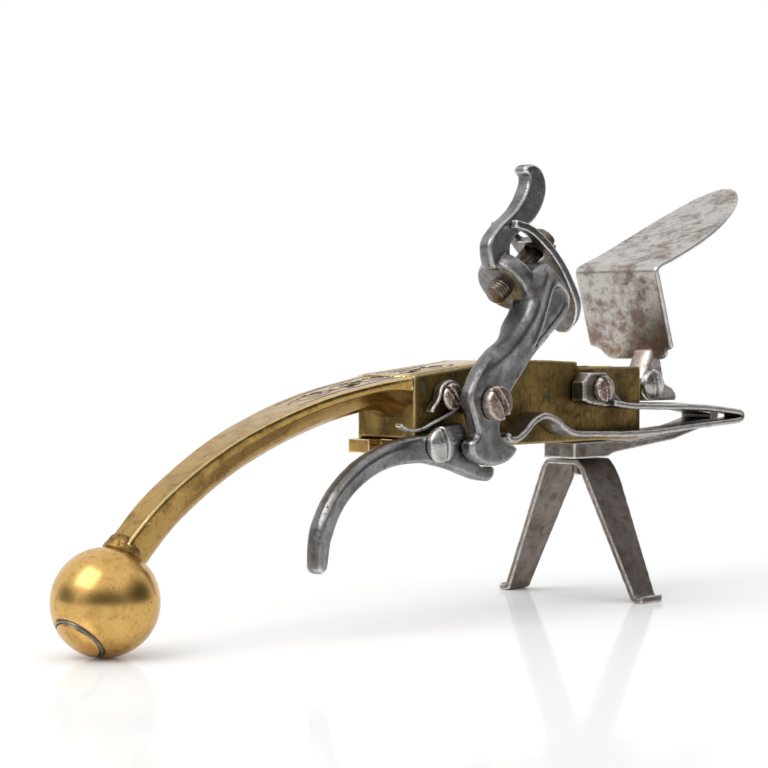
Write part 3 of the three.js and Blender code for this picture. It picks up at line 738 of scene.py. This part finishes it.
SPRING_THICK = 0.62
SEAR_LINE = [
    (-7.6, 38.9), (-7.4, 39.6), (-5.9, 41.2), (-4.9, 43.5), (-2.8, 44.5), (-0.6, 43.6), (0.0, 41.7),
    (-1.1, 39.6), (-4.2, 38.1), (-7.4, 37.0), (-10.0, 36.0), (-12.6, 35.7), (-14.6, 36.1),
    (-16.0, 36.8),
]


def sear_spring():
    """The thin spring that bears on the trigger."""
    line = resample(smooth_line(SEAR_LINE, 8), 0.25, closed=False)
    item = finish_mesh("sear_spring_strip", band(line, lambda t: SPRING_THICK, -9.3, PLATE_INNER, 0.14))
    soften(item, 0.13, 2)
    adopt(item, None, "spring_steel", ("sear_spring",))
    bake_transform(item)


# ---- Frizzen --------------------------------------------------------------------------------

SHEET = [(57.2, 47.3), (48.0, 47.3), (39.4, 47.3), (38.2, 47.42), (37.65, 48.1), (37.5, 50.0)]
FAR_OGEE = [(10.9, 3.0), (10.3, 2.85), (9.2, 2.6), (8.2, 2.0), (7.3, 1.0), (6.4, 0.3), (5.4, 0.0)]
NEAR_OGEE = [(-7.0, 0.0), (-8.0, 0.25), (-8.6, 0.9), (-8.8, 1.7), (-9.3, 2.1), (-10.0, 2.2), (-10.5, 2.6)]
ARM = [
    (62.6, 50.0), (60.9, 46.6), (59.5, 44.2), (59.2, 41.6), (60.3, 39.4), (71.2, 39.4), (70.9, 40.8),
    (69.6, 42.1), (67.2, 42.9), (66.5, 44.4), (65.9, 47.0), (65.2, 50.0),
]


def frizzen():
    """The pan's lid and its striking leaf, one bent sheet, with the arm that carries them."""
    line = [Vector(p) for p in SHEET]
    for k in range(1, 22):
        z = 50.0 + 40.1 * k / 21
        line.append(Vector((37.55 - 4.9 * ((z - 46.8) / 43.5) ** 2, z)))
    line = resample(smooth_line(line, 3), 0.3, closed=False)
    lengths = [0.0]
    for a, b in zip(line, line[1:]):
        lengths.append(lengths[-1] + (b - a).length)
    full = lengths[-1]

    def bent(y, s, w):
        k = 1
        while k < len(lengths) - 1 and lengths[k] < s:
            k += 1
        a, b = line[k - 1], line[k]
        at = a.lerp(b, (s - lengths[k - 1]) / (lengths[k] - lengths[k - 1]))
        before, after = line[max(k - 3, 0)], line[min(k + 2, len(line) - 1)]
        ahead = (after - before).normalized()
        at += Vector((-ahead.y, ahead.x)) * w
        x, z = at.x - FRIZZEN_PIVOT[0], at.y - FRIZZEN_PIVOT[1]
        turned = (x * math.cos(FRIZZEN_OPEN) + z * math.sin(FRIZZEN_OPEN),
                  z * math.cos(FRIZZEN_OPEN) - x * math.sin(FRIZZEN_OPEN))
        return (turned[0] + FRIZZEN_PIVOT[0], y, turned[1] + FRIZZEN_PIVOT[1])

    shoulder = full - 30.3
    tip = []
    for k in range(1, 24):
        turn = math.pi * k / 24
        tip.append((0.2 + 10.7 * math.cos(turn), shoulder + 30.2 * math.sin(turn)))
    outline = [(-10.5, shoulder)] + NEAR_OGEE[::-1] + FAR_OGEE[::-1] + [(10.9, shoulder)] + tip
    sheet = relief(outline, lambda y, s, d: -0.5, lambda y, s, d: 0.5, 0.22, 0.42, bent)
    arm = relief(ARM, lambda x, z, d: -6.0, lambda x, z, d: -1.0, 0.6, 0.4, plate)
    item = finish_mesh("frizzen_sheet", sheet, arm)
    dent(item, 0.05, 0.25)
    adopt(item, "frizzen", "frizzen_steel", ("frizzen",))


# ---- Ball, plug and ring --------------------------------------------------------------------


def sphere_profile(radius, low, high, steps):
    """Points along a ball's axis between two angles measured from its far end."""
    made = []
    for k in range(steps + 1):
        turn = low + (high - low) * k / steps
        made.append((-radius * math.cos(turn), radius * math.sin(turn)))
    return made


def pommel():
    """The turned ball, the plug in its foot and the steel ring round the plug."""
    plug_axis = Vector((math.cos(PLUG_ANGLE), 0, math.sin(PLUG_ANGLE)))
    lip = math.asin(4.95 / BALL_RADIUS)
    shell = [(-7.2, 0.01), (-7.2, 4.75)] + sphere_profile(BALL_RADIUS, lip, math.pi, 60)
    item = finish_mesh("ball_turned", lathe(shell, BALL, -plug_axis, 128))
    dent(item, 0.03, 0.16)
    adopt(item, "box", "ball_brass", ("pommel_ball",))
    cap = sphere_profile(BALL_RADIUS + 0.12, 0.01, math.asin(4.05 / BALL_RADIUS), 14)
    item = finish_mesh("plug_turned", lathe(cap + [(-6.9, 4.1), (-6.9, 0.01)], BALL, -plug_axis, 96))
    adopt(item, "box", "ball_brass", ("pommel_plug",))
    ring = [(-7.0, 4.25), (-7.98, 4.3), (-8.06, 4.45), (-7.96, 4.6), (-7.0, 4.65), (-7.0, 4.25)]
    item = finish_mesh("ring_turned", lathe(ring, BALL, -plug_axis, 96))
    adopt(item, "box", "bright_steel", ("plug_ring",), RING)


# ---- Handle ---------------------------------------------------------------------------------

HANDLE_LINE = [(-8.6, 45.85), (-30.0, 42.2), (-49.7, 35.7), (-65.2, 27.1), (-74.9, 18.7)]
HANDLE_WIDTH = (12.4, 5.6)
HANDLE_TAPER = 1.8
HANDLE_START = -10.9
HANDLE_REACH = 64.0
BOX_DEPTH = 5.0
TANG_THICK = 2.0
TANG_SIDES = (-5.0, 5.8)
COLLAR = [(7.6, 2.2), (8.3, 3.0), (8.9, 3.3), (9.5, 3.1), (10.4, 2.7), (11.4, 2.0)]
TANG_LINE = [(-10.6, 45.7), (4.8, 47.2), (13.4, 48.1), (26.7, 48.2), (35.9, 47.8)]


def half_width(t):
    """Half the handle's width; t runs from 0 at the box to 1 at the ball."""
    return (HANDLE_WIDTH[1] + (HANDLE_WIDTH[0] - HANDLE_WIDTH[1]) * (1 - t) ** HANDLE_TAPER) / 2


def handle_rings():
    """The handle's bar: eight-sided, flared at the box and slightly spread at the ball."""
    mesh = bmesh.new()
    line = smooth_line(HANDLE_LINE, 24)
    line = [p for p in line if p.x < HANDLE_START]
    total = len(line) - 1
    rings = []
    for i, at in enumerate(line):
        t = i / total
        ahead = (line[max(i - 1, 0)] - line[min(i + 1, total)]).normalized()
        down = Vector((ahead.y, -ahead.x))
        flare = max(0.0, 1 - t / 0.10) ** 2
        foot = max(0.0, (t - 0.965) / 0.035) ** 2
        half = half_width(t) + 1.1 * flare + 0.3 * foot
        depth = BOX_DEPTH + 1.8 * t + 3.2 * flare
        section = (
            (-half + 0.25, 0), (-half, 0.25 / depth), (-half, 0.28), (-half * 0.94, 0.36),
            (-half * 0.72, 0.7), (-half * 0.6, 0.82), (-half * 0.30, 1), (half * 0.30, 1),
            (half * 0.6, 0.82), (half * 0.72, 0.7), (half * 0.94, 0.36), (half, 0.28),
            (half, 0.25 / depth), (half - 0.25, 0),
        )
        rings.append([
            mesh.verts.new(row((at.x + down.x * d * depth, y, at.y + down.y * d * depth))) for y, d in section
        ])
    return tube(mesh, rings)


def handle():
    """The braze at the ball, the curved bar and the tang along the box's top."""
    top = [Vector(p) for p in TANG_LINE]
    middle = [p - Vector((0, TANG_THICK / 2)) for p in resample(top, 1.5, closed=False)]
    tang = band(middle, lambda t: TANG_THICK, *TANG_SIDES, 0.15)
    collar = lathe(COLLAR, BALL, TENON, 48)
    item = finish_mesh("braze_collar", collar)
    soften(item, 0.16, 3)
    dent(item, 0.16, 0.9, 0.1)
    adopt(item, "box", "handle_brass", ("handle",), BRAZE)
    item = finish_mesh("handle_bar", handle_rings())
    soften(item, 0.24, 9)
    dent(item, 0.03, 0.22)
    adopt(item, "box", "handle_brass", ("handle",))
    item = finish_mesh("handle_tang", tang)
    adopt(item, "box", "handle_brass", ("handle",))


# The engraving: the vine starts at VINE_START and swings once over each VINE_WAVE.
VINE_START = -36.0
VINE_WAVE = 16.0
VINE_SWING = 1.9
BORDER = 4.7
MARGIN = 0.92
CUT_HALF = 0.045
CUT_LEVELS = (-0.15, 0.045)
STRETCH = 1.4


def top_height(x):
    """The height of the handle's and the tang's flat top at X."""
    line = smooth_line(HANDLE_LINE, 24)[::-1] + [Vector(p) for p in TANG_LINE]
    for a, b in zip(line, line[1:]):
        if a.x <= x <= b.x:
            return a.lerp(b, (x - a.x) / (b.x - a.x)).y
    return line[-1].y


def top_half(x):
    """Half the width of the handle's top at X; the tang keeps the width of the box end."""
    return half_width(min(max((HANDLE_START - x) / HANDLE_REACH, 0.0), 1.0))


def stem_height(x):
    """The vine's main stem winds from side to side along the handle."""
    return VINE_SWING * math.sin((x - VINE_START) * 2 * math.pi / VINE_WAVE)


def tendril(x, hand):
    """A branch that leaves the stem at x and coils in on itself, as (X, Y) points."""
    root = Vector((x, stem_height(x)))
    heart = Vector((x + 3.4, root.y - hand * 2.1))
    reach = root - heart
    start = math.atan2(reach.y, reach.x / STRETCH)
    size = math.hypot(reach.x / STRETCH, reach.y)
    made = []
    for k in range(44):
        t = k / 43
        angle = start + hand * t * 1.7 * 2 * math.pi
        radius = size * (1 - 0.86 * t)
        made.append(heart + Vector((math.cos(angle) * radius * STRETCH, math.sin(angle) * radius)))
    return made


def leaf_vein(x, y, turn, length):
    """A pointed leaf outline with its middle vein."""
    ahead = Vector((math.cos(turn) * STRETCH, math.sin(turn)))
    side = Vector((-ahead.y, ahead.x)) * 0.3
    foot = Vector((x, y))
    tip = foot + ahead * length
    lines = [[foot, tip]]
    for hand in (1, -1):
        belly = foot + ahead * length * 0.45 + side * length * hand
        lines.append(smooth_line([foot, belly, tip], 6))
    return lines


def engraving():
    """A vine with tendrils and leaves between two border lines, as dirt-filled cuts."""
    along = [VINE_START + 0.5 + k * 0.5 for k in range(80)]
    lines = [[Vector((x, stem_height(x))) for x in along]]
    for k in range(5):
        x = VINE_START + 4.0 + k * VINE_WAVE / 2
        hand = 1 if k % 2 == 0 else -1
        lines.append(tendril(x, hand))
        for step, turn, length in ((1.2, 0.9, 1.7), (2.6, 0.5, 1.9), (4.2, 1.2, 1.3), (5.8, 0.7, 1.6)):
            lines.extend(leaf_vein(x + step, stem_height(x + step), turn * hand, length))
    for side in (1, -1):
        lines.append([Vector((VINE_START + k * 1.1, side * BORDER)) for k in range(38)])
    lines = [
        [Vector((p.x, p.y * MARGIN * top_half(p.x) / top_half(0.0))) for p in line]
        for line in lines
    ]
    mesh = bmesh.new()
    for line in lines:
        for a, b in zip(line, line[1:]):
            ahead = (b - a).normalized()
            side = Vector((-ahead.y, ahead.x)) * CUT_HALF
            corners = []
            for at in (a + side, a - side, b - side, b + side):
                for lift in CUT_LEVELS:
                    corners.append(mesh.verts.new(row((at.x, at.y, top_height(at.x) + lift))))
            low, high = corners[0::2], corners[1::2]
            mesh.faces.new(high)
            mesh.faces.new(low[::-1])
            for k in range(4):
                n = (k + 1) % 4
                mesh.faces.new((high[k], low[k], low[n], high[n]))
    bmesh.ops.recalc_face_normals(mesh, faces=mesh.faces)
    item = finish_mesh("engraved_lines", mesh)
    adopt(item, "box", "handle_brass", ("handle",), ENGRAVED)


cock()
trigger()
screw("cock_screw", COCK_PIVOT, radius=3.25, inner=-14.6, outer=-16.9, shank=1.2,
      turn=-58, slot_half=0.55, seed=1)
screw("trigger_screw", TRIGGER_PIVOT, radius=3.3, inner=-10.9, outer=-12.7, shank=0.8,
      turn=-78, slot_half=0.24, seed=2, tip=-6.3, dome=1.0, rough=0.35)
screw("sear_spring_screw", SEAR_SCREW, radius=2.5, inner=-9.4, outer=-10.35, shank=0.9,
      turn=-50, slot_half=0.2, seed=3, dome=0.45)
screw("mainspring_screw", MAIN_SCREW, radius=2.6, inner=-11.1, outer=-12.6, shank=1.1,
      turn=-72, slot_half=0.4, seed=4)
screw("frizzen_screw", FRIZZEN_PIVOT, radius=3.2, inner=-6.2, outer=-7.9, shank=1.3,
      turn=-82, slot_half=0.35, seed=5, tip=5.3, dome=0.8, rough=0.5)
jaw_screw()
mainspring()
sear_spring()
frizzen()
pommel()
handle()
engraving()
worn_copy("box_body", 0.3, 6, 0.04, 0.3, 0.04)
worn_copy("bottom_cover", 0.2, 4)
worn_copy("top_jaw", 0.18, 9, 0.04, 0.5, 0.03)
worn_copy("feather_spring", 0.2, 4, 0.04, 0.4, 0.06)
worn_copy("stand", 0.2, 9, 0.05, 0.3, 0.05)
worn_copy("stand_rivet", 0.16, 3)

# ---- Floor, light and camera ----------------------------------------------------------------


def emission(tree, shade):
    """A grey glow of the given shade."""
    glow = tree.nodes.new("ShaderNodeEmission")
    glow.inputs["Color"].default_value = (shade, shade, shade, 1)
    return glow


FLOOR_FADE = (0.10, 0.55)  # metres from the middle
AIM = 0.04  # height that the cards face, in metres


def floor():
    """A pale, slightly glossy floor that fades into the white surround."""
    mesh = bmesh.new()
    bmesh.ops.create_circle(mesh, cap_ends=True, segments=96, radius=4.0)
    data = bpy.data.meshes.new("floor")
    mesh.to_mesh(data)
    mesh.free()
    item = item_from("floor", data)
    item.location.z = -0.02 * MM
    material = bpy.data.materials.new("white_floor")
    material.use_nodes = True
    tree = material.node_tree
    tree.nodes.clear()
    out = tree.nodes.new("ShaderNodeOutputMaterial")
    matt = tree.nodes.new("ShaderNodeBsdfDiffuse")
    matt.inputs["Color"].default_value = (0.97, 0.97, 0.97, 1)
    gloss = tree.nodes.new("ShaderNodeBsdfGlossy")
    gloss.inputs["Roughness"].default_value = 0.09
    blend = tree.nodes.new("ShaderNodeMixShader")
    blend.inputs["Fac"].default_value = 0.23
    tree.links.new(matt.outputs[0], blend.inputs[1])
    tree.links.new(gloss.outputs[0], blend.inputs[2])
    place = tree.nodes.new("ShaderNodeTexCoord")
    radial = tree.nodes.new("ShaderNodeVectorMath")
    radial.operation = "LENGTH"
    tree.links.new(place.outputs["Object"], radial.inputs[0])
    fade = tree.nodes.new("ShaderNodeMapRange")
    fade.interpolation_type = "SMOOTHSTEP"
    fade.inputs["From Min"].default_value, fade.inputs["From Max"].default_value = FLOOR_FADE
    tree.links.new(radial.outputs["Value"], fade.inputs["Value"])
    whole = tree.nodes.new("ShaderNodeMixShader")
    tree.links.new(fade.outputs["Result"], whole.inputs["Fac"])
    tree.links.new(blend.outputs[0], whole.inputs[1])
    tree.links.new(emission(tree, 1.0).outputs[0], whole.inputs[2])
    tree.links.new(whole.outputs[0], out.inputs["Surface"])
    data.materials.append(material)


def lamp(name, size, power, location, target):
    data = bpy.data.lights.new(name, "AREA")
    data.shape = "RECTANGLE"
    data.size, data.size_y = size
    data.energy = power
    item = bpy.data.objects.new(name, data)
    bpy.context.scene.collection.objects.link(item)
    item.location = location
    aim = Vector(target) - Vector(location)
    item.rotation_euler = aim.to_track_quat("-Z", "Y").to_euler()


CAMERA_PLACE = (-317.9, -296.3, 54.4)
LENS = 107.8
SENSOR = 36.0
VIEW_TURN = math.radians(46.0)
VIEW_DROP = math.radians(1.39)
VIEW = Vector((
    math.sin(VIEW_TURN) * math.cos(VIEW_DROP),
    math.cos(VIEW_TURN) * math.cos(VIEW_DROP),
    -math.sin(VIEW_DROP),
))


def studio(name, size, centre, shade):
    """A card that only mirrors in the metal, as a studio's dark and bright panels do."""
    width, height = size
    mesh = bmesh.new()
    bmesh.ops.create_grid(mesh, x_segments=1, y_segments=1, size=0.5)
    bmesh.ops.scale(mesh, vec=(width, height, 1), verts=mesh.verts)
    data = bpy.data.meshes.new(name)
    mesh.to_mesh(data)
    mesh.free()
    item = item_from(name, data)
    item.location = centre
    aim = Vector((0, 0, AIM)) - Vector(centre)
    item.rotation_euler = aim.to_track_quat("Z", "Y").to_euler()
    material = bpy.data.materials.new(name)
    material.use_nodes = True
    tree = material.node_tree
    tree.nodes.clear()
    out = tree.nodes.new("ShaderNodeOutputMaterial")
    place = tree.nodes.new("ShaderNodeTexCoord")
    disc = tree.nodes.new("ShaderNodeTexGradient")
    disc.gradient_type = "SPHERICAL"
    centred = tree.nodes.new("ShaderNodeMapping")
    centred.inputs["Location"].default_value = (-1.0, -1.0, 0)
    centred.inputs["Scale"].default_value = (2.0, 2.0, 0)
    tree.links.new(place.outputs["Generated"], centred.inputs["Vector"])
    tree.links.new(centred.outputs["Vector"], disc.inputs["Vector"])
    fade = tree.nodes.new("ShaderNodeMapRange")
    fade.interpolation_type = "SMOOTHSTEP"
    fade.inputs["From Max"].default_value = 0.8
    tree.links.new(disc.outputs["Fac"], fade.inputs["Value"])
    clear = tree.nodes.new("ShaderNodeBsdfTransparent")
    blend = tree.nodes.new("ShaderNodeMixShader")
    tree.links.new(fade.outputs["Result"], blend.inputs["Fac"])
    tree.links.new(clear.outputs[0], blend.inputs[1])
    tree.links.new(emission(tree, shade).outputs[0], blend.inputs[2])
    tree.links.new(blend.outputs[0], out.inputs["Surface"])
    data.materials.append(material)
    item.visible_camera = False
    item.visible_diffuse = False
    item.visible_shadow = False


def world():
    scene = bpy.context.scene
    scene.world = bpy.data.worlds.new("studio")
    scene.world.use_nodes = True
    background = scene.world.node_tree.nodes["Background"]
    background.inputs["Color"].default_value = (1, 1, 1, 1)
    background.inputs["Strength"].default_value = 1.0
    scene.view_settings.view_transform = "Standard"


def camera():
    data = bpy.data.cameras.new("camera")
    data.sensor_width = SENSOR
    data.lens = LENS
    data.clip_start = 0.01
    item = bpy.data.objects.new("camera", data)
    bpy.context.scene.collection.objects.link(item)
    item.location = row(CAMERA_PLACE)
    item.rotation_euler = VIEW.to_track_quat("-Z", "Y").to_euler()
    bpy.context.scene.camera = item


def direction(turn, lift, distance):
    """A place seen from the object at a turn from the camera (to its left is positive) and a lift."""
    angle = math.atan2(-VIEW.y, -VIEW.x) - math.radians(turn)
    rise = math.radians(lift)
    return (
        math.cos(angle) * math.cos(rise) * distance,
        math.sin(angle) * math.cos(rise) * distance,
        math.sin(rise) * distance + AIM,
    )


floor()
world()
lamp("key", (0.6, 0.6), 2.6, direction(50, 48, 0.9), (0, 0, 0.03))
studio("camera_dark", (4.2, 1.5), direction(-6, 8, 1.15), 0.13)
studio("right_dark", (2.8, 1.9), direction(-84, 12, 1.15), 0.08)
studio("left_dark", (1.7, 1.1), direction(80, 6, 1.15), 0.2)
camera()
